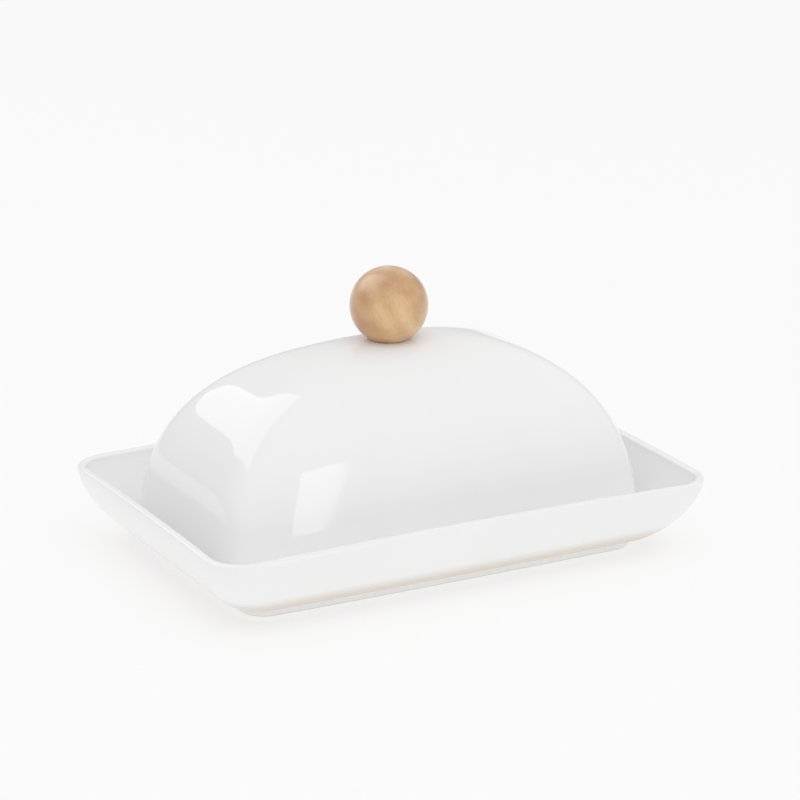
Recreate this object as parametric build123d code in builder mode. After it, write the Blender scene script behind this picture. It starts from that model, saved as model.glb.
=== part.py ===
from build123d import *
from math import pi, sin
import os

# Butter dish: a flared porcelain tray, and a domed porcelain lid with a turned wooden ball knob.
# Millimetres, +Z up, +X along the dish. The origin is at the centre of the foot ring's underside.

# Driving dimensions of the tray
tray_length = 210.0
tray_width = 143.0
rim_height = 31.0
rim_corner_radius = 15.0
lip_thickness = 3.4
lip_fillet = 1.5
foot_inset = 21.4
foot_height = 3.0
foot_ring_width = 5.0
foot_corner_radius = 9.0
foot_edge_fillet = 0.6
floor_top = 8.0
floor_margin = 16.0
floor_corner_radius = 12.0
wall_power_outside = 1.6
wall_power_inside = 1.3

# Driving dimensions of the lid
lid_length = 177.0
lid_width = 102.0
lid_top = 83.0
lid_wall = 4.0
lid_rest_gap = 0.05
lid_power_long = 2.54
lid_power_cross = 2.6
lid_side_lean = 12.0
lid_corner_low = 12.0
lid_corner_high = 24.0
inside_corner_share = 0.5  # of the wall, taken off the corner radius on the inside
widest_corner_share = 0.46  # of the width, so that a corner never eats a whole side
lid_foot_fillet = 1.0
seat_length = 30.0
seat_width = 22.0
seat_corner_radius = 9.0

# Knob and its fixing: an M4 pan head screw from inside the lid, into a brass insert
knob_radius = 15.0
knob_flat_depth = 13.0
insert_hole_radius = 3.0
insert_hole_depth = 12.0
insert_radius = 3.0
insert_length = 8.0
insert_flange_radius = 3.4
insert_flange_height = 0.6
thread_radius = 2.0
lid_hole_radius = 2.6
lid_hole_cut = 8.0
silicone_radius = 7.5
silicone_thickness = 1.5
washer_radius = 6.0
washer_thickness = 0.8
washer_hole_radius = 2.2
head_radius = 4.0
head_height = 2.6
head_fillet = 1.0
recess_across = 1.0
recess_reach = 4.6
recess_depth = 1.6
screw_tip_chamfer = 0.5
screw_length = 12.0

wall_steps = 7
dome_steps = 7
steepest_step = 0.4 * pi

os.makedirs("parts", exist_ok=True)


def superellipse_drop(share, power):
    """Height share reached at an outward share, flat at the start and upright at the end."""
    return 1.0 - (1.0 - min(share, 1.0) ** power) ** (1.0 / power)


def superellipse_reach(share, power):
    """Outward share left at a height share, upright at the start and flat at the end."""
    return (1.0 - share**power) ** (1.0 / power)


def blend(start, end, share):
    return start + (end - start) * share


def wall_sections(low, high, power):
    """Rounded rectangles of a flared wall, as (length, width, corner radius, height)."""
    sections = []
    for step in range(wall_steps):
        share = sin(0.5 * pi * step / (wall_steps - 1))
        rise = superellipse_drop(share, power)
        across = [blend(low[i], high[i], share) for i in range(3)]
        sections.append((*across, blend(low[3], high[3], rise)))
    return sections


def dome_sections(inset, base_height):
    """Rounded rectangles of the dome, from its open foot up to the flat seat of the knob."""
    half_length = 0.5 * lid_length - inset
    half_width = 0.5 * lid_width - inset
    rise = lid_top - inset - base_height
    sections = []
    for step in range(dome_steps):
        share = sin(steepest_step * step / (dome_steps - 1))
        length = 2.0 * half_length * superellipse_reach(share, lid_power_long)
        leaned = half_width - lid_side_lean * share
        width = 2.0 * leaned * superellipse_reach(share, lid_power_cross)
        wanted_corner = blend(lid_corner_low, lid_corner_high, share) - inside_corner_share * inset
        corner = min(wanted_corner, widest_corner_share * width)
        sections.append((length, width, corner, base_height + rise * share))
    sections.append((seat_length, seat_width, seat_corner_radius, base_height + rise))
    return sections


def section_faces(sections):
    """One rounded rectangle face for each section, all with the same eight edges to loft."""
    faces = []
    for length, width, corner, height in sections:
        with BuildSketch(Plane.XY.offset(height)) as outline:
            RectangleRounded(length, width, corner)
        faces.append(outline.sketch.face())
    return faces


# Tray: foot ring, floor and flared wall in one piece of porcelain
rim = (tray_length, tray_width, rim_corner_radius, rim_height)
foot = (tray_length - 2 * foot_inset, tray_width - 2 * foot_inset, foot_corner_radius, foot_height)
rim_inside = (
    tray_length - 2 * lip_thickness,
    tray_width - 2 * lip_thickness,
    rim_corner_radius - lip_thickness,
    rim_height,
)
floor = (
    tray_length - 2 * floor_margin,
    tray_width - 2 * floor_margin,
    floor_corner_radius,
    floor_top,
)

with BuildPart() as tray:
    loft(sections=section_faces(wall_sections(foot, rim, wall_power_outside)))
    well = section_faces(wall_sections(floor, rim_inside, wall_power_inside))
    loft(sections=well, mode=Mode.SUBTRACT)
    lip_edges = tray.edges().group_by(Axis.Z)[-1]
    fillet(lip_edges, lip_fillet)
    with BuildSketch(Plane.XY):
        RectangleRounded(foot[0], foot[1], foot_corner_radius)
        RectangleRounded(
            foot[0] - 2 * foot_ring_width,
            foot[1] - 2 * foot_ring_width,
            foot_corner_radius - foot_ring_width,
            mode=Mode.SUBTRACT,
        )
    extrude(amount=foot_height)
    foot_edges = tray.edges().group_by(Axis.Z)[0]
    fillet(foot_edges, foot_edge_fillet)
tray.part.label = "tray"
export_step(tray.part, "parts/tray.step")

# Lid: the dome, hollowed to an even wall, with a flat seat and a hole for the knob's screw
lid_base = floor_top + lid_rest_gap
ceiling = lid_top - lid_wall

with BuildPart() as lid:
    loft(sections=section_faces(dome_sections(0.0, lid_base)))
    hollow = section_faces(dome_sections(lid_wall, lid_base))
    loft(sections=hollow, mode=Mode.SUBTRACT)
    lid_foot_edges = lid.edges().group_by(Axis.Z)[0]
    fillet(lid_foot_edges, lid_foot_fillet)
    with BuildSketch(Plane.XY.offset(lid_top)):
        Circle(lid_hole_radius)
    extrude(amount=-lid_hole_cut, mode=Mode.SUBTRACT)
lid.part.label = "lid"
export_step(lid.part, "parts/lid.step")

# Knob: a ball with a flat turned on it, and a blind hole for the insert
knob_centre = lid_top + knob_flat_depth
knob_top = knob_centre + knob_radius
knob_flat_radius = (knob_radius**2 - knob_flat_depth**2) ** 0.5

with BuildPart() as knob:
    with BuildSketch(Plane.XZ):
        with BuildLine():
            Line((0, lid_top), (knob_flat_radius, lid_top))
            ThreePointArc((knob_flat_radius, lid_top), (knob_radius, knob_centre), (0, knob_top))
            Line((0, knob_top), (0, lid_top))
        make_face()
    revolve(axis=Axis.Z)
    with BuildSketch(Plane.XY.offset(lid_top)):
        Circle(insert_hole_radius)
    extrude(amount=insert_hole_depth, mode=Mode.SUBTRACT)
    with BuildSketch(Plane.XY.offset(lid_top)):
        Circle(insert_flange_radius)
    extrude(amount=insert_flange_height, mode=Mode.SUBTRACT)
knob.part.label = "knob"
export_step(knob.part, "parts/knob.step")

# Threaded insert: flanged brass sleeve pressed into the knob
with BuildPart() as threaded_insert:
    with BuildSketch(Plane.XY.offset(lid_top)):
        Circle(insert_flange_radius)
        Circle(thread_radius, mode=Mode.SUBTRACT)
    extrude(amount=insert_flange_height)
    with BuildSketch(Plane.XY.offset(lid_top)):
        Circle(insert_radius)
        Circle(thread_radius, mode=Mode.SUBTRACT)
    extrude(amount=insert_length)
threaded_insert.part.label = "threaded_insert"
export_step(threaded_insert.part, "parts/threaded_insert.step")

# Silicone washer against the ceiling, then a steel washer, then the screw's head
with BuildPart() as silicone_washer:
    with BuildSketch(Plane.XY.offset(ceiling)):
        Circle(silicone_radius)
        Circle(washer_hole_radius, mode=Mode.SUBTRACT)
    extrude(amount=-silicone_thickness)
silicone_washer.part.label = "silicone_washer"
export_step(silicone_washer.part, "parts/silicone_washer.step")

washer_top = ceiling - silicone_thickness

with BuildPart() as steel_washer:
    with BuildSketch(Plane.XY.offset(washer_top)):
        Circle(washer_radius)
        Circle(washer_hole_radius, mode=Mode.SUBTRACT)
    extrude(amount=-washer_thickness)
steel_washer.part.label = "steel_washer"
export_step(steel_washer.part, "parts/steel_washer.step")

head_top = washer_top - washer_thickness

with BuildPart() as knob_screw:
    with BuildSketch(Plane.XY.offset(head_top)):
        Circle(head_radius)
    extrude(amount=-head_height)
    head_edge = knob_screw.edges().group_by(Axis.Z)[0]
    fillet(head_edge, head_fillet)
    with BuildSketch(Plane.XY.offset(head_top)):
        Circle(thread_radius)
    extrude(amount=screw_length)
    tip_edge = knob_screw.edges().group_by(Axis.Z)[-1]
    chamfer(tip_edge, screw_tip_chamfer)
    with BuildSketch(Plane.XY.offset(head_top - head_height)):
        Rectangle(recess_reach, recess_across)
        Rectangle(recess_across, recess_reach)
    extrude(amount=recess_depth, mode=Mode.SUBTRACT)
knob_screw.part.label = "knob_screw"
export_step(knob_screw.part, "parts/knob_screw.step")
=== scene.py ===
import bpy
import bmesh
from math import atan2, cos, pi, radians, sin
from mathutils import Matrix, Vector


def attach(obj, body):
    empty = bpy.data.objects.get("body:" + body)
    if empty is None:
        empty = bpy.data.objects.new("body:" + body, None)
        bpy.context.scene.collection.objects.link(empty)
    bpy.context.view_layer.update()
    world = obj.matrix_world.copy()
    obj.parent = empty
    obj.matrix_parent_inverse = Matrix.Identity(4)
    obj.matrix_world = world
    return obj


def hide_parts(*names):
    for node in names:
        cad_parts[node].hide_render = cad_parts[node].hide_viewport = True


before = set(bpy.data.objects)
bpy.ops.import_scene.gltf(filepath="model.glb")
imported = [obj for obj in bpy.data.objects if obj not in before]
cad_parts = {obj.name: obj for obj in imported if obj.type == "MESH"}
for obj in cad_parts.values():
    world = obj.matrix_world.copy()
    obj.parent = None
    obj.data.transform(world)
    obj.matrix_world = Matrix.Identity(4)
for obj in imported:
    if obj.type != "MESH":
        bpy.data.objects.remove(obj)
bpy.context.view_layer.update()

# A white porcelain butter dish: flared tray, domed lid, turned beech ball knob.
mm = 0.001  # the frame is in metres, the sizes below are in millimetres
scene = bpy.context.scene
print("frame loaded:", ", ".join(sorted(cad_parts)))


def hexColour(text):
    # sRGB hex to linear RGBA
    values = [int(text[i : i + 2], 16) / 255 for i in (0, 2, 4)]
    return [v / 12.92 if v <= 0.04045 else ((v + 0.055) / 1.055) ** 2.4 for v in values] + [1]


def addNode(tree, kind, inputs=None, settings=None):
    # one node: settings are its own properties, inputs are values or sockets to link from
    node = tree.nodes.new(kind)
    for name, value in (settings or {}).items():
        setattr(node, name, value)
    for key, value in (inputs or {}).items():
        if isinstance(value, bpy.types.NodeSocket):
            tree.links.new(value, node.inputs[key])
        else:
            node.inputs[key].default_value = value
    return node


def newMaterial(name):
    material = bpy.data.materials.new(name)
    material.use_nodes = True
    shader = material.node_tree.nodes["Principled BSDF"]
    return material, material.node_tree, shader


def colourSteps(tree, factor, stops):
    # a colour ramp with the given (position, hex) stops
    ramp = addNode(tree, "ShaderNodeValToRGB", {"Fac": factor})
    while len(ramp.color_ramp.elements) < len(stops):
        ramp.color_ramp.elements.new(0.5)
    for element, (place, shade) in zip(ramp.color_ramp.elements, stops):
        element.position = place
        element.color = hexColour(shade)
    return ramp.outputs["Color"]


# Camera, on the dish's front left
cameraSet = {
    "azimuth": 28.1,  # degrees round from straight in front, towards the left end
    "elevation": 20.05,
    "distance": 1.2,
    "lens": 138.6,
    "aimRight": 4.3,  # mm from the dish's origin to the middle of the view
    "aimUp": 55.5,
}


def makeCamera(setup):
    turn, tilt = radians(setup["azimuth"]), radians(setup["elevation"])
    forward = Vector((sin(turn) * cos(tilt), cos(turn) * cos(tilt), -sin(tilt)))
    right = Vector((cos(turn), -sin(turn), 0))
    up = right.cross(forward)
    aim = (right * setup["aimRight"] + up * setup["aimUp"]) * mm
    data = bpy.data.cameras.new("viewCamera")
    data.lens = setup["lens"]
    camera = bpy.data.objects.new("viewCamera", data)
    camera.location = -forward * setup["distance"]
    camera.rotation_euler = (aim - camera.location).to_track_quat("-Z", "Y").to_euler()
    scene.collection.objects.link(camera)
    scene.camera = camera


makeCamera(cameraSet)


# Floor and studio light: a pale table in a plain room
lightSet = {
    "wallColour": "D0D0D0",
    "ceilingColour": "FFFFFF",
    "ceilingStart": 0.55,  # sine of the climb at which the ceiling takes over
    "roomStrength": 0.82,
    "floorSize": 6.0,
    "floorHeight": -0.0002,
    "floorColour": "A0A0A0",
    "floorGlow": 0.62,
    "filmGamma": 1.2,  # lifts the shade a little
}


def makeFloor(setup):
    bpy.ops.mesh.primitive_plane_add(size=setup["floorSize"], location=(0, 0, setup["floorHeight"]))
    floor = bpy.context.object
    floor.name = "paleTable"
    # matt white table top, evenly bright as a lit light table is
    material, tree, shader = newMaterial("paleTable")
    shader.inputs["Base Color"].default_value = hexColour(setup["floorColour"])
    shader.inputs["Roughness"].default_value = 0.7
    shader.inputs["Specular IOR Level"].default_value = 0.2
    shader.inputs["Emission Color"].default_value = (1, 1, 1, 1)
    shader.inputs["Emission Strength"].default_value = setup["floorGlow"]
    floor.data.materials.append(material)


def makeWorld(setup):
    # a room whose walls are darker than its ceiling
    world = bpy.data.worlds.new("studioRoom")
    world.use_nodes = True
    scene.world = world
    tree = world.node_tree
    background = tree.nodes["Background"]
    place = addNode(tree, "ShaderNodeTexCoord").outputs["Generated"]
    climb = addNode(tree, "ShaderNodeSeparateXYZ", {0: place}).outputs["Z"]
    stops = [(0.0, setup["wallColour"]), (setup["ceilingStart"], setup["ceilingColour"])]
    tree.links.new(colourSteps(tree, climb, stops), background.inputs["Color"])
    background.inputs["Strength"].default_value = setup["roomStrength"]
    scene.view_settings.view_transform = "Standard"
    scene.view_settings.gamma = setup["filmGamma"]


def areaLight(name, place, aim, width, height, radiance, roll=0):
    # a plain rectangular soft light; radiance is its own brightness, whatever its size
    data = bpy.data.lights.new(name, "AREA")
    data.shape = "RECTANGLE"
    data.size = width
    data.size_y = height
    data.energy = radiance * pi * width * height
    light = bpy.data.objects.new(name, data)
    light.location = place
    facing = (Vector(aim) - Vector(place)).to_track_quat("-Z", "Y").to_matrix()
    light.rotation_euler = (facing @ Matrix.Rotation(radians(roll), 3, "Z")).to_euler()
    scene.collection.objects.link(light)
    return light


makeFloor(lightSet)
makeWorld(lightSet)
# the key only fills; the window and the ceiling light only shine in the glaze
key = areaLight("overheadKey", (0.1, -0.85, 1.35), (0, 0, 0.05), 1.6, 1.6, 0.5)
key.visible_glossy = False
window = areaLight("frontWindow", (0.455, -1.205, 0.33), (-0.05, -0.045, 0.04), 0.12, 0.5, 2.2, roll=-10)
window.visible_diffuse = False
ceilingLight = areaLight("ceilingLight", (-0.9, 1.6, 1.27), (-0.9, 1.6, 0), 1.4, 3.2, 1.5, roll=11)
ceilingLight.visible_diffuse = False
print("camera, floor and lights ready")


# Porcelain: a white body under a clear glossy glaze
porcelainSet = {
    "body": "F9F9F9",
    "pooled": "F6F6F6",  # where the glaze lies thicker it looks a touch warmer and darker
    "speck": "B9AE9C",  # a few iron specks
    # painted shade: the warm colour laid on the outside just above the foot, and the height of its band
    "paintedShadeTint": "C4AE88",
    "paintedShadeBandMm": 20.0,
    "roughness": 0.045,
    "waveMm": 26.0,  # slow waves left by dipping
    "waveHeight": 0.05,
    "peelMm": 2.2,  # orange peel, drawn coarser than real so that it shows
    "peelHeight": 0.0025,
    "speckMm": 17.0,
    "speckSize": 0.013,
}


def glazedPorcelain(name, paintedShadeStrength):
    # near white, with sharp reflections that waver a little
    # the second argument sets how strongly a warm painted shade is laid on down-facing faces just above the
    # foot; it stands for the shade under the flared wall and the warm table reflected there
    kit = porcelainSet
    material, tree, shader = newMaterial(name)
    place = addNode(tree, "ShaderNodeTexCoord").outputs["Object"]
    pool = addNode(tree, "ShaderNodeTexNoise", {"Vector": place, "Scale": 1 / (45 * mm), "Detail": 2})
    tone = colourSteps(tree, pool.outputs["Fac"], [(0.35, kit["body"]), (0.75, kit["pooled"])])
    spots = addNode(tree, "ShaderNodeTexVoronoi", {"Vector": place, "Scale": 1 / (kit["speckMm"] * mm)})
    mask = addNode(
        tree,
        "ShaderNodeMapRange",
        {"Value": spots.outputs["Distance"], "From Min": kit["speckSize"], "From Max": 0.006, "To Max": 0.5},
    )
    colour = addNode(
        tree,
        "ShaderNodeMix",
        {0: mask.outputs["Result"], 6: tone, 7: hexColour(kit["speck"])},
        {"data_type": "RGBA"},
    )
    height = addNode(tree, "ShaderNodeSeparateXYZ", {0: place}).outputs["Z"]
    # painted shade: a warm band by height just above the foot, on down-facing faces only, standing for the
    # shade under the flare and the warm table reflected there
    share = addNode(
        tree, "ShaderNodeMath", {0: height, 1: 1 / (kit["paintedShadeBandMm"] * mm)}, {"operation": "MULTIPLY"}
    )
    paintedShadeBand = colourSteps(
        tree, share.outputs[0], [(0.0, "FFFFFF"), (0.155, "FFFFFF"), (0.175, kit["paintedShadeTint"]), (0.62, "FFFFFF")]
    )
    normal = addNode(tree, "ShaderNodeNewGeometry").outputs["Normal"]
    facing = addNode(tree, "ShaderNodeSeparateXYZ", {0: normal})
    paintedShadeMask = addNode(
        tree,
        "ShaderNodeMapRange",
        {"Value": facing.outputs["Z"], "From Min": 0.1, "From Max": -0.1, "To Max": paintedShadeStrength},
    )
    withPaintedShade = addNode(
        tree,
        "ShaderNodeMix",
        {0: paintedShadeMask.outputs["Result"], 6: colour.outputs[2], 7: paintedShadeBand},
        {"data_type": "RGBA", "blend_type": "MULTIPLY"},
    )
    wave = addNode(
        tree, "ShaderNodeTexNoise", {"Vector": place, "Scale": 1 / (kit["waveMm"] * mm), "Detail": 1}
    )
    peel = addNode(
        tree, "ShaderNodeTexNoise", {"Vector": place, "Scale": 1 / (kit["peelMm"] * mm), "Detail": 2}
    )
    slow = addNode(
        tree, "ShaderNodeBump", {"Height": wave.outputs["Fac"], "Distance": kit["waveHeight"] * mm}
    )
    fine = addNode(
        tree,
        "ShaderNodeBump",
        {"Height": peel.outputs["Fac"], "Distance": kit["peelHeight"] * mm, "Normal": slow.outputs["Normal"]},
    )
    tree.links.new(withPaintedShade.outputs[2], shader.inputs["Base Color"])
    tree.links.new(fine.outputs["Normal"], shader.inputs["Normal"])
    shader.inputs["Roughness"].default_value = kit["roughness"]
    shader.inputs["IOR"].default_value = 1.5
    return material


def bisquePorcelain():
    # unglazed fired porcelain where the piece stood in the kiln: matt, warm, very finely gritty
    material, tree, shader = newMaterial("bisquePorcelain")
    place = addNode(tree, "ShaderNodeTexCoord").outputs["Object"]
    grit = addNode(tree, "ShaderNodeTexNoise", {"Vector": place, "Scale": 1 / (0.5 * mm), "Detail": 4})
    colour = colourSteps(tree, grit.outputs["Fac"], [(0.3, "CFC6B8"), (0.7, "E2DBCF")])
    bump = addNode(tree, "ShaderNodeBump", {"Height": grit.outputs["Fac"], "Distance": 0.03 * mm})
    tree.links.new(colour, shader.inputs["Base Color"])
    tree.links.new(bump.outputs["Normal"], shader.inputs["Normal"])
    shader.inputs["Roughness"].default_value = 0.8
    return material


# the second value is the strength of the painted shade above the foot
trayGlaze = glazedPorcelain("glazedPorcelainTray", 1.0)
lidGlaze = glazedPorcelain("glazedPorcelainLid", 0.2)
bisque = bisquePorcelain()


# Meshes made ring by ring
def ringMesh(name, rings, tube=False):
    # quads between rings of equal count; a flat face closes each end, or a tube closes on itself
    mesh = bpy.data.meshes.new(name)
    count = len(rings[0])
    points = [point for ring in rings for point in ring]
    faces = []
    for row in range(len(rings) if tube else len(rings) - 1):
        for i in range(count):
            j = (i + 1) % count
            low, high = row * count, (row + 1) % len(rings) * count
            faces.append((low + i, low + j, high + j, high + i))
    if not tube:
        faces.append(tuple(reversed(range(count))))
        faces.append(tuple(range((len(rings) - 1) * count, len(rings) * count)))
    mesh.from_pydata([tuple(c * mm for c in point) for point in points], [], faces)
    work = bmesh.new()
    work.from_mesh(mesh)
    bmesh.ops.recalc_face_normals(work, faces=work.faces)
    work.to_mesh(mesh)
    work.free()
    mesh.shade_smooth()
    piece = bpy.data.objects.new(name, mesh)
    scene.collection.objects.link(piece)
    return piece


def roundedRing(halfLength, halfWidth, corner, height, bow=(0, 0), droop=0):
    # one level of a rounded rectangle, with sides that bow out and corners that sag by droop
    a, b = halfLength - bow[0], halfWidth - bow[1]
    arcSteps, longSteps, shortSteps = 16, 30, 20
    outline = []
    for quarter in range(4):
        signX = 1 if quarter in (0, 3) else -1
        signY = 1 if quarter in (0, 1) else -1
        centre = (signX * (a - corner), signY * (b - corner))
        for step in range(arcSteps + 1):
            angle = (quarter + step / arcSteps) * pi / 2
            outline.append((centre[0] + corner * cos(angle), centre[1] + corner * sin(angle)))
        following = ((corner - a, b), (-a, corner - b), (a - corner, -b), (a, b - corner))[quarter]
        steps = longSteps if quarter % 2 == 0 else shortSteps
        start = outline[-1]
        for step in range(1, steps):
            share = step / steps
            outline.append(tuple(start[k] + (following[k] - start[k]) * share for k in (0, 1)))
    ring = []
    for x, y in outline:
        px, py = x / a, y / b
        x2 = x * (1 + bow[0] / a * (1 - py * py))
        y2 = y * (1 + bow[1] / b * (1 - px * px))
        ring.append((x2, y2, height - droop * px * px * py * py))
    return ring


# Tray: foot ring, flared wall and rounded lip
traySet = {
    "halfLength": 105.0,
    "halfWidth": 71.5,
    "rimHeight": 31.0,
    "rimCorner": 15.0,
    "rimDroop": 1.2,  # the corners sag a little in the kiln
    "footInset": 21.4,
    "footHeight": 3.0,
    "footRing": 5.0,
    "footCorner": 9.0,
    "footBow": (1.0, 0.8),
    "lipThickness": 3.4,
    "lipRound": 1.35,
    "footRound": 0.7,
    "bisqueTop": 0.45,  # the glaze is wiped off below this height
    "floorInset": 16.0,
    "floorHeight": 8.0,
    "floorCorner": 12.0,
    "powerOutside": 1.6,
    "powerInside": 1.3,
}


def mix(low, high, share):
    return low + (high - low) * share


def trayRings(kit):
    a, b, top = kit["halfLength"], kit["halfWidth"], kit["rimHeight"]
    inset, foot = kit["footInset"], kit["footHeight"]
    rings = []

    def level(inward, height, corner, share):
        bow = tuple(value * (1 - share) for value in kit["footBow"])
        rings.append(roundedRing(a - inward, b - inward, corner, height, bow, kit["rimDroop"] * share))

    inner = inset + kit["footRing"]
    for inward in (b - 14, 48, 36, 29):
        level(inward, foot, 3.0, 0)
    cornerIn = kit["footCorner"] - kit["footRing"]
    footRound = kit["footRound"]
    for step in range(6):  # inside of the foot ring, rounding in from the underside
        angle = step / 5 * pi / 2
        level(inner + footRound * (1 - sin(angle)), foot - footRound * (1 - cos(angle)), cornerIn, 0)
    for step in range(6):
        angle = step / 5 * pi / 2
        level(inner - footRound * (1 - cos(angle)), footRound * (1 - sin(angle)), cornerIn, 0)
    for step in range(6):
        angle = step / 5 * pi / 2
        level(inset + footRound * (1 - sin(angle)), footRound * (1 - cos(angle)), kit["footCorner"], 0)
    level(inset, foot * 0.6, kit["footCorner"], 0)
    lip = kit["lipRound"]
    steps = 26
    for step in range(steps + 1):  # outside of the flared wall
        share = sin(step / steps * pi / 2)
        rise = 1 - (1 - share ** kit["powerOutside"]) ** (1 / kit["powerOutside"])
        corner = mix(kit["footCorner"], kit["rimCorner"], share)
        level(inset * (1 - share), mix(foot, top - lip, rise), corner, rise)
    for step in range(1, 7):
        angle = step / 6 * pi / 2
        inward = lip * (1 - cos(angle))
        level(inward, top - lip + lip * sin(angle), kit["rimCorner"] - inward, 1)
    thick = kit["lipThickness"]
    innerCorner = kit["rimCorner"] - thick
    for step in range(0, 7):
        angle = step / 6 * pi / 2
        corner = innerCorner + lip * (1 - sin(angle))
        level(thick - lip + lip * sin(angle), top - lip + lip * cos(angle), corner, 1)
    for step in range(1, steps + 1):  # inside of the wall, down to the floor
        share = cos(step / steps * pi / 2)
        rise = 1 - (1 - share ** kit["powerInside"]) ** (1 / kit["powerInside"])
        level(
            mix(kit["floorInset"], thick, share),
            mix(kit["floorHeight"], top - lip, rise),
            mix(kit["floorCorner"], innerCorner, share),
            rise,
        )
    for inward in (22, 32, 46, b - 14):
        level(inward, kit["floorHeight"], 3.0, 0)
    return rings


tray = ringMesh("trayShell", trayRings(traySet))
tray.data.materials.append(trayGlaze)
tray.data.materials.append(bisque)
for face in tray.data.polygons:
    if face.center.z < traySet["bisqueTop"] * mm:
        face.material_index = 1
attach(tray, "tray")
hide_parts("tray")
print("tray:", len(tray.data.polygons), "faces")


# Lid: a dome on a rounded rectangle plan, made by a rule in Geometry Nodes
lidSet = {
    "Half Length": 88.5 * mm,
    "Half Width": 51.0 * mm,
    "Base Height": 8.05 * mm,
    "Side Lean": 12.0 * mm,  # the long sides lean in by this much at the top
    "Rise": 75.5 * mm,
    "Seat Height": 83.0 * mm,
    "Hole Radius": 2.6 * mm,
    "Long Power": 2.54,
    "Cross Power": 2.6,
    "Corner Power Low": 10.0,
    "Corner Power High": 1.8,
    "Corner Fade": 4.0,
    "Columns": 320,
    "Rows": 90,
}
lidWall = 4.0
lidFootRound = 1.1
lidBisqueHeight = 0.4


def domeTree(material):
    tree = bpy.data.node_groups.new("domeByRule", "GeometryNodeTree")
    for name, value in lidSet.items():
        kind = "NodeSocketInt" if isinstance(value, int) else "NodeSocketFloat"
        tree.interface.new_socket(name, in_out="INPUT", socket_type=kind).default_value = value
    tree.interface.new_socket("Geometry", in_out="OUTPUT", socket_type="NodeSocketGeometry")
    given = addNode(tree, "NodeGroupInput").outputs

    def maths(operation, *values):
        return addNode(tree, "ShaderNodeMath", dict(enumerate(values)), {"operation": operation}).outputs[0]

    columns = maths("ADD", given["Columns"], 1)
    grid = addNode(
        tree,
        "GeometryNodeMeshGrid",
        {"Size X": 1, "Size Y": 1, "Vertices X": columns, "Vertices Y": given["Rows"]},
    )
    where = addNode(tree, "ShaderNodeSeparateXYZ", {0: addNode(tree, "GeometryNodeInputPosition").outputs[0]})
    around = maths("MULTIPLY", maths("ADD", where.outputs["X"], 0.5), 2 * pi)
    upward = maths("ADD", where.outputs["Y"], 0.5)
    # columns crowd a little towards the four corners, where the plan turns
    angle = maths("ADD", around, maths("MULTIPLY", maths("SINE", maths("MULTIPLY", around, 4)), 0.15))
    share = maths("SINE", maths("MULTIPLY", upward, pi / 2))

    def reach(power):
        # what is left of the plan at this share of the height
        left = maths("SUBTRACT", 1, maths("POWER", share, power))
        return maths("POWER", maths("MAXIMUM", left, 0), maths("DIVIDE", 1, power))

    # over the last rows the plan turns into the round screw hole
    toHole = addNode(
        tree,
        "ShaderNodeMapRange",
        {"Value": upward, "From Min": 0.88, "From Max": 1.0},
        {"interpolation_type": "SMOOTHSTEP"},
    ).outputs["Result"]

    def towards(value, goal):
        return maths("ADD", value, maths("MULTIPLY", maths("SUBTRACT", goal, value), toHole))

    length = maths("MULTIPLY", given["Half Length"], reach(given["Long Power"]))
    length = towards(length, given["Hole Radius"])
    leaned = maths("SUBTRACT", given["Half Width"], maths("MULTIPLY", given["Side Lean"], share))
    width = towards(maths("MULTIPLY", leaned, reach(given["Cross Power"])), given["Hole Radius"])
    power = maths("SUBTRACT", given["Corner Power High"], given["Corner Power Low"])
    fade = maths("MULTIPLY", power, maths("POWER", share, given["Corner Fade"]))
    power = towards(maths("ADD", given["Corner Power Low"], fade), 2.0)
    side, depth = maths("COSINE", angle), maths("SINE", angle)
    spreadX = maths("POWER", maths("ABSOLUTE", side), power)
    spreadY = maths("POWER", maths("ABSOLUTE", depth), power)
    spread = maths("ADD", spreadX, spreadY)
    scale = maths("POWER", spread, maths("DIVIDE", -1, power))
    height = maths("ADD", given["Base Height"], maths("MULTIPLY", given["Rise"], share))
    height = maths("SMOOTH_MIN", height, given["Seat Height"], 0.4 * mm)
    point = addNode(
        tree,
        "ShaderNodeCombineXYZ",
        {
            "X": maths("MULTIPLY", length, maths("MULTIPLY", side, scale)),
            "Y": maths("MULTIPLY", width, maths("MULTIPLY", depth, scale)),
            "Z": height,
        },
    )
    shaped = addNode(
        tree,
        "GeometryNodeSetPosition",
        {"Geometry": grid.outputs["Mesh"], "Position": point.outputs[0]},
    )
    closed = addNode(
        tree, "GeometryNodeMergeByDistance", {"Geometry": shaped.outputs[0], "Distance": 0.001 * mm}
    )
    smooth = addNode(tree, "GeometryNodeSetShadeSmooth", {"Geometry": closed.outputs[0]})
    real = addNode(tree, "GeometryNodeRealizeInstances", {"Geometry": smooth.outputs[0]})
    dressed = addNode(tree, "GeometryNodeSetMaterial", {"Geometry": real.outputs[0], "Material": material})
    addNode(tree, "NodeGroupOutput", {"Geometry": dressed.outputs[0]})
    return tree


def grownMesh(name, tree, values):
    # runs a node tree on an empty carrier object and keeps the plain mesh that comes out
    carrier = bpy.data.objects.new(name + "Carrier", bpy.data.meshes.new(name + "Carrier"))
    scene.collection.objects.link(carrier)
    modifier = carrier.modifiers.new("rule", "NODES")
    modifier.node_group = tree
    for item in tree.interface.items_tree:
        if item.in_out == "INPUT" and item.name in values:
            modifier[item.identifier] = values[item.name]
    graph = bpy.context.evaluated_depsgraph_get()
    mesh = bpy.data.meshes.new_from_object(carrier.evaluated_get(graph))
    mesh.name = name
    bpy.data.objects.remove(carrier)
    piece = bpy.data.objects.new(name, mesh)
    scene.collection.objects.link(piece)
    return piece


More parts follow.
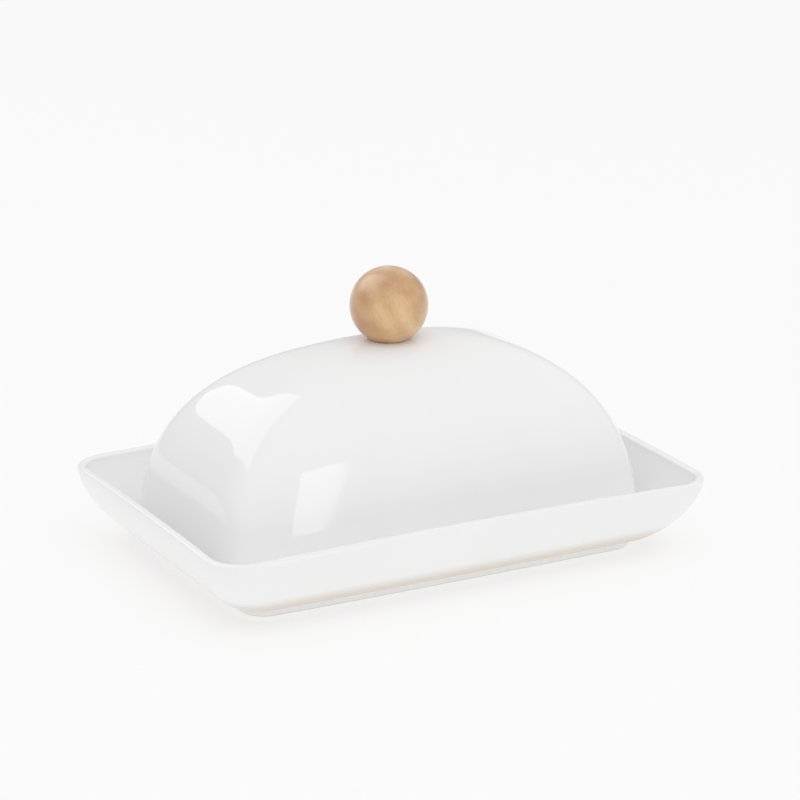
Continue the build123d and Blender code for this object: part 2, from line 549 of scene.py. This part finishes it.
lid = grownMesh("lidDome", domeTree(lidGlaze), lidSet)
work = bmesh.new()
work.from_mesh(lid.data)
bmesh.ops.recalc_face_normals(work, faces=work.faces)
if sum(face.normal.z for face in work.faces) < 0:
    bmesh.ops.reverse_faces(work, faces=work.faces)
work.to_mesh(lid.data)
work.free()
wall = lid.modifiers.new("wall", "SOLIDIFY")
wall.thickness = lidWall * mm
wall.offset = -1
wall.use_quality_normals = True
softEdge = lid.modifiers.new("softEdge", "BEVEL")
softEdge.width = lidFootRound * mm
softEdge.segments = 4
softEdge.limit_method = "ANGLE"
softEdge.angle_limit = radians(50)
graph = bpy.context.evaluated_depsgraph_get()
solidMesh = bpy.data.meshes.new_from_object(lid.evaluated_get(graph))
lid.modifiers.clear()
lid.data = solidMesh
lid.data.name = "lidDome"
lid.data.shade_smooth()
lid.data.materials.clear()
lid.data.materials.append(lidGlaze)
lid.data.materials.append(bisque)
for face in lid.data.polygons:
    low = face.center.z < lidSet["Base Height"] + lidBisqueHeight * mm
    underneath = low and face.normal.z < -0.5
    face.material_index = 1 if underneath else 0
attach(lid, "lid")
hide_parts("lid")
print("lid:", len(lid.data.polygons), "faces")


# Knob: a ball turned from beech, oiled, with a flat underneath and a hole for the insert
knobSet = {
    "radius": 15.0,
    "flatDepth": 13.0,
    "seatHeight": 83.0,
    "edgeRound": 0.5,
    "holeRadius": 3.0,
    "holeDepth": 12.0,
    "flangeRadius": 3.4,
    "flangeDepth": 0.6,
}


beechSet = {
    "light": "E6BB80",
    "deep": "B87E42",
    "ring": "F6EBDB",  # multiplies the wood along its growth rings
    "fibre": "F2ECE4",
    "fleck": "8E5F34",
    "patchMm": 20.0,
    "ringMm": 24.0,
    "fibreMm": 0.7,
    "fleckMm": 1.6,
    "fibreHeight": 0.02,
    "roughness": 0.38,
    "coat": 0.7,
    "coatRoughness": 0.27,
    "coatIor": 1.7,
}


def oiledBeech():
    # golden brown beech: soft patches, faint growth rings, short dark ray flecks, satin from the oil
    kit = beechSet
    material, tree, shader = newMaterial("oiledBeech")
    place = addNode(tree, "ShaderNodeTexCoord").outputs["Object"]
    turned = addNode(tree, "ShaderNodeMapping", {"Vector": place, "Rotation": (0.25, 0.35, 0.6)}).outputs[0]
    patch = addNode(
        tree, "ShaderNodeTexNoise", {"Vector": turned, "Scale": 1 / (kit["patchMm"] * mm), "Detail": 3}
    )
    base = colourSteps(tree, patch.outputs["Fac"], [(0.35, kit["deep"]), (0.62, kit["light"])])
    rings = addNode(
        tree,
        "ShaderNodeTexWave",
        {"Vector": turned, "Scale": 1 / (kit["ringMm"] * mm), "Distortion": 3.0, "Detail": 3},
        {"bands_direction": "X"},
    )
    ringed = colourSteps(tree, rings.outputs["Fac"], [(0.0, "FFFFFF"), (1.0, kit["ring"])])
    along = addNode(tree, "ShaderNodeMapping", {"Vector": turned, "Scale": (1, 1, 0.09)}).outputs[0]
    fibre = addNode(
        tree, "ShaderNodeTexNoise", {"Vector": along, "Scale": 1 / (kit["fibreMm"] * mm), "Detail": 5}
    )
    streak = colourSteps(tree, fibre.outputs["Fac"], [(0.3, kit["fibre"]), (0.7, "FFFFFF")])
    multiply = {"data_type": "RGBA", "blend_type": "MULTIPLY"}
    grained = addNode(tree, "ShaderNodeMix", {0: 1.0, 6: base, 7: ringed}, multiply).outputs[2]
    grained = addNode(tree, "ShaderNodeMix", {0: 1.0, 6: grained, 7: streak}, multiply).outputs[2]
    flat = addNode(tree, "ShaderNodeMapping", {"Vector": turned, "Scale": (1, 1, 0.3)}).outputs[0]
    rays = addNode(tree, "ShaderNodeTexVoronoi", {"Vector": flat, "Scale": 1 / (kit["fleckMm"] * mm)})
    spot = addNode(
        tree,
        "ShaderNodeMapRange",
        {"Value": rays.outputs["Distance"], "From Min": 0.16, "From Max": 0.08, "To Max": 0.16},
    )
    flecked = addNode(
        tree,
        "ShaderNodeMix",
        {0: spot.outputs[0], 6: grained, 7: hexColour(kit["fleck"])},
        {"data_type": "RGBA"},
    )
    bump = addNode(
        tree, "ShaderNodeBump", {"Height": fibre.outputs["Fac"], "Distance": kit["fibreHeight"] * mm}
    )
    tree.links.new(flecked.outputs[2], shader.inputs["Base Color"])
    tree.links.new(bump.outputs["Normal"], shader.inputs["Normal"])
    shader.inputs["Roughness"].default_value = kit["roughness"]
    shader.inputs["Coat Weight"].default_value = kit["coat"]
    shader.inputs["Coat Roughness"].default_value = kit["coatRoughness"]
    shader.inputs["Coat IOR"].default_value = kit["coatIor"]
    return material


def roundRing(radius, height, count=128):
    angles = [2 * pi * i / count for i in range(count)]
    return [(radius * cos(angle), radius * sin(angle), height) for angle in angles]


def knobRings(kit):
    r, seat = kit["radius"], kit["seatHeight"]
    centre = seat + kit["flatDepth"]
    flat = (r * r - kit["flatDepth"] ** 2) ** 0.5
    edge = kit["edgeRound"]
    rings = [roundRing(0.3, seat + kit["holeDepth"]), roundRing(kit["holeRadius"], seat + kit["holeDepth"])]
    rings.append(roundRing(kit["holeRadius"], seat + kit["flangeDepth"]))
    rings.append(roundRing(kit["flangeRadius"], seat + kit["flangeDepth"]))
    rings.append(roundRing(kit["flangeRadius"], seat))
    for radius in (4.5, 6.0, flat - edge):
        rings.append(roundRing(radius, seat))
    start = -atan2(kit["flatDepth"] - edge * 0.6, flat + edge * 0.45)
    rings.append(roundRing(flat - edge * 0.2, seat + edge * 0.12))
    steps = 84
    for step in range(steps):
        angle = mix(start, pi / 2, step / steps)
        rings.append(roundRing(r * cos(angle), centre + r * sin(angle)))
    rings.append(roundRing(0.08, centre + r))
    return rings


knob = ringMesh("knobBall", knobRings(knobSet))
knob.data.materials.append(oiledBeech())
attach(knob, "lid")
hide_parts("knob")
print("knob:", len(knob.data.polygons), "faces")


# Fixing under the knob: M4 pan head screw, steel washer, silicone washer and brass insert
fixingSet = {
    "ceiling": 79.0,  # underside of the lid's top
    "siliconeRadius": 7.5,
    "siliconeThick": 1.5,
    "siliconeRound": 0.4,
    "washerRadius": 6.0,
    "washerThick": 0.8,
    "washerRound": 0.15,
    "boreRadius": 2.2,
    "headRadius": 4.0,
    "headHeight": 2.6,
    "headRound": 1.0,
    "recessReach": 2.3,
    "recessHalfWidth": 0.5,
    "recessDepth": 1.6,
    "recessMouth": 1.15,  # the cross is this much larger at its mouth and narrows to its foot
    "recessFoot": 0.6,
    "shankLength": 12.0,
    "threadRadius": 1.97,
    "threadDepth": 0.38,
    "threadPitch": 0.7,
    "insertBase": 83.0,
    "insertLength": 8.0,
    "insertBore": 2.0,
    "insertRadius": 2.88,
    "flangeRadius": 3.4,
    "flangeHeight": 0.6,
    "knurls": 24,
    "knurlHeight": 0.12,
}


def metalFinish(name, colour, roughness, lineMm):
    # bare metal with fine lathe lines round it and slight clouding from handling
    material, tree, shader = newMaterial(name)
    place = addNode(tree, "ShaderNodeTexCoord").outputs["Object"]
    cloud = addNode(tree, "ShaderNodeTexNoise", {"Vector": place, "Scale": 1 / (3 * mm), "Detail": 3})
    tone = colourSteps(tree, cloud.outputs["Fac"], colour)
    lines = addNode(
        tree, "ShaderNodeTexWave", {"Vector": place, "Scale": 1 / (lineMm * mm)}, {"bands_direction": "Z"}
    )
    bump = addNode(tree, "ShaderNodeBump", {"Height": lines.outputs["Fac"], "Distance": 0.004 * mm})
    tree.links.new(tone, shader.inputs["Base Color"])
    tree.links.new(bump.outputs["Normal"], shader.inputs["Normal"])
    shader.inputs["Metallic"].default_value = 1.0
    shader.inputs["Roughness"].default_value = roughness
    return material


def milkySilicone():
    # translucent off-white rubber: soft, slightly dusty surface, light glows through the thin ring
    material, tree, shader = newMaterial("milkySilicone")
    place = addNode(tree, "ShaderNodeTexCoord").outputs["Object"]
    dust = addNode(tree, "ShaderNodeTexNoise", {"Vector": place, "Scale": 1 / (0.8 * mm), "Detail": 3})
    tone = colourSteps(tree, dust.outputs["Fac"], [(0.3, "DEDBD4"), (0.7, "ECEAE5")])
    tree.links.new(tone, shader.inputs["Base Color"])
    bump = addNode(tree, "ShaderNodeBump", {"Height": dust.outputs["Fac"], "Distance": 0.02 * mm})
    tree.links.new(bump.outputs["Normal"], shader.inputs["Normal"])
    shader.inputs["Roughness"].default_value = 0.55
    shader.inputs["Subsurface Weight"].default_value = 0.4
    shader.inputs["Subsurface Scale"].default_value = 2 * mm
    return material


def turnedRings(outline, relief=None, count=96):
    # rings of a turned shape from (radius, height) pairs; relief(angle, height) adds to the radius
    rings = []
    for radius, height in outline:
        ring = []
        for i in range(count):
            angle = 2 * pi * i / count
            out = radius + (relief(angle, height) if relief else 0)
            ring.append((out * cos(angle), out * sin(angle), height))
        rings.append(ring)
    return rings


def ringPlate(name, radius, low, high, edge):
    # a flat ring with rounded edges, drawn round its four corners
    bore = fixingSet["boreRadius"]
    corners = (
        (radius - edge, low + edge, -90),
        (radius - edge, high - edge, 0),
        (bore + edge, high - edge, 90),
        (bore + edge, low + edge, 180),
    )
    outline = []
    for x, z, start in corners:
        for step in range(6):
            angle = radians(start + 90 * step / 5)
            outline.append((x + edge * cos(angle), z + edge * sin(angle)))
    return ringMesh(name, turnedRings(outline), tube=True)


def threadRelief(kit, low, high):
    # a single start screw thread that fades out at both ends
    def relief(angle, height):
        if height < low or height > high:
            return 0
        turn = (height / kit["threadPitch"] - angle / (2 * pi)) % 1
        crest = min(1, max(0, 1.4 - 3.2 * abs(turn - 0.5)))
        fade = min(1, (height - low) / 0.5, (high - height) / 0.5)
        return kit["threadDepth"] * crest * fade
    return relief


def screwPiece(kit):
    bearing = kit["ceiling"] - kit["siliconeThick"] - kit["washerThick"]
    bottom = bearing - kit["headHeight"]
    tip = bearing + kit["shankLength"]
    r, edge = kit["headRadius"], kit["headRound"]
    outline = [(0.05, bottom), (1.5, bottom)]
    for step in range(9):
        angle = radians(-90 + 90 * step / 8)
        outline.append((r - edge + edge * cos(angle), bottom + edge + edge * sin(angle)))
    outline += [(r, bearing - 0.15), (r - 0.15, bearing)]
    root = kit["threadRadius"] - kit["threadDepth"]
    outline.append((root, bearing))
    levels = int(kit["shankLength"] / (kit["threadPitch"] / 10))
    for step in range(1, levels):
        outline.append((root, bearing + (kit["shankLength"] - 0.4) * step / levels))
    outline += [(root - 0.4, tip), (0.05, tip)]
    relief = threadRelief(kit, bearing + 0.3, tip - 0.5)
    screw = ringMesh("panScrew", turnedRings(outline, relief, 64))
    # cross recess, narrowing inwards
    rings = []
    mouth = (bottom - 0.5, kit["recessMouth"])
    inmost = (bottom + kit["recessDepth"], kit["recessFoot"])
    for height, size in (mouth, inmost):
        far, near = kit["recessReach"] * size, kit["recessHalfWidth"] * size
        cross = []
        for x, y in ((1, 0), (0, 1), (-1, 0), (0, -1)):
            cross.append((x * far + y * near, y * far - x * near, height))
            cross.append((x * far - y * near, y * far + x * near, height))
            cross.append((x * near - y * near, y * near + x * near, height))
        rings.append(cross)
    cutter = ringMesh("recessCutter", rings)
    cut = screw.modifiers.new("recess", "BOOLEAN")
    cut.operation = "DIFFERENCE"
    cut.object = cutter
    graph = bpy.context.evaluated_depsgraph_get()
    mesh = bpy.data.meshes.new_from_object(screw.evaluated_get(graph))
    screw.modifiers.clear()
    screw.data = mesh
    mesh.name = "panScrew"
    bpy.data.objects.remove(cutter)
    mesh.set_sharp_from_angle(angle=radians(40))
    return screw


def insertPiece(kit):
    low, high = kit["insertBase"], kit["insertBase"] + kit["insertLength"]
    bore, flange, r = kit["insertBore"], kit["flangeRadius"], kit["insertRadius"]
    shelf = low + kit["flangeHeight"]
    outline = [(bore, low + 0.15), (bore + 0.15, low), (flange - 0.1, low), (flange, low + 0.1)]
    outline += [(flange, shelf - 0.1), (flange - 0.1, shelf), (r, shelf + 0.02)]
    levels = 28
    for step in range(1, levels):
        share = step / levels
        groove = 0.3 if abs(share - 0.5) < 0.06 else 0
        outline.append((r - groove, mix(shelf, high - 0.3, share)))
    outline += [(r, high - 0.3), (r - 0.3, high), (bore + 0.15, high), (bore, high - 0.15)]

    def knurl(angle, height):
        if height < shelf + 0.2 or height > high - 0.4 or abs(height - mix(shelf, high - 0.3, 0.5)) < 0.5:
            return 0
        return kit["knurlHeight"] * (1 - abs((angle * kit["knurls"] / (2 * pi)) % 1 * 2 - 1))

    return ringMesh("brassInsert", turnedRings(outline, knurl, 192), tube=True)


def fitPiece(piece, material, node):
    piece.data.materials.clear()
    piece.data.materials.append(material)
    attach(piece, "lid")
    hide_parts(node)


steel = metalFinish("stainlessSteel", [(0.3, "B9B8B5"), (0.7, "CFCECB")], 0.27, 0.25)
brass = metalFinish("turnedBrass", [(0.3, "B98F45"), (0.7, "D3AB62")], 0.3, 0.3)
kit = fixingSet
padLow = kit["ceiling"] - kit["siliconeThick"]
silicone = ringPlate("siliconeWasher", kit["siliconeRadius"], padLow, kit["ceiling"], kit["siliconeRound"])
fitPiece(silicone, milkySilicone(), "silicone_washer")
washerLow = padLow - kit["washerThick"]
washer = ringPlate("steelWasher", kit["washerRadius"], washerLow, padLow, kit["washerRound"])
fitPiece(washer, steel, "steel_washer")
fitPiece(screwPiece(kit), steel, "knob_screw")
fitPiece(insertPiece(kit), brass, "threaded_insert")
print("fixing ready")
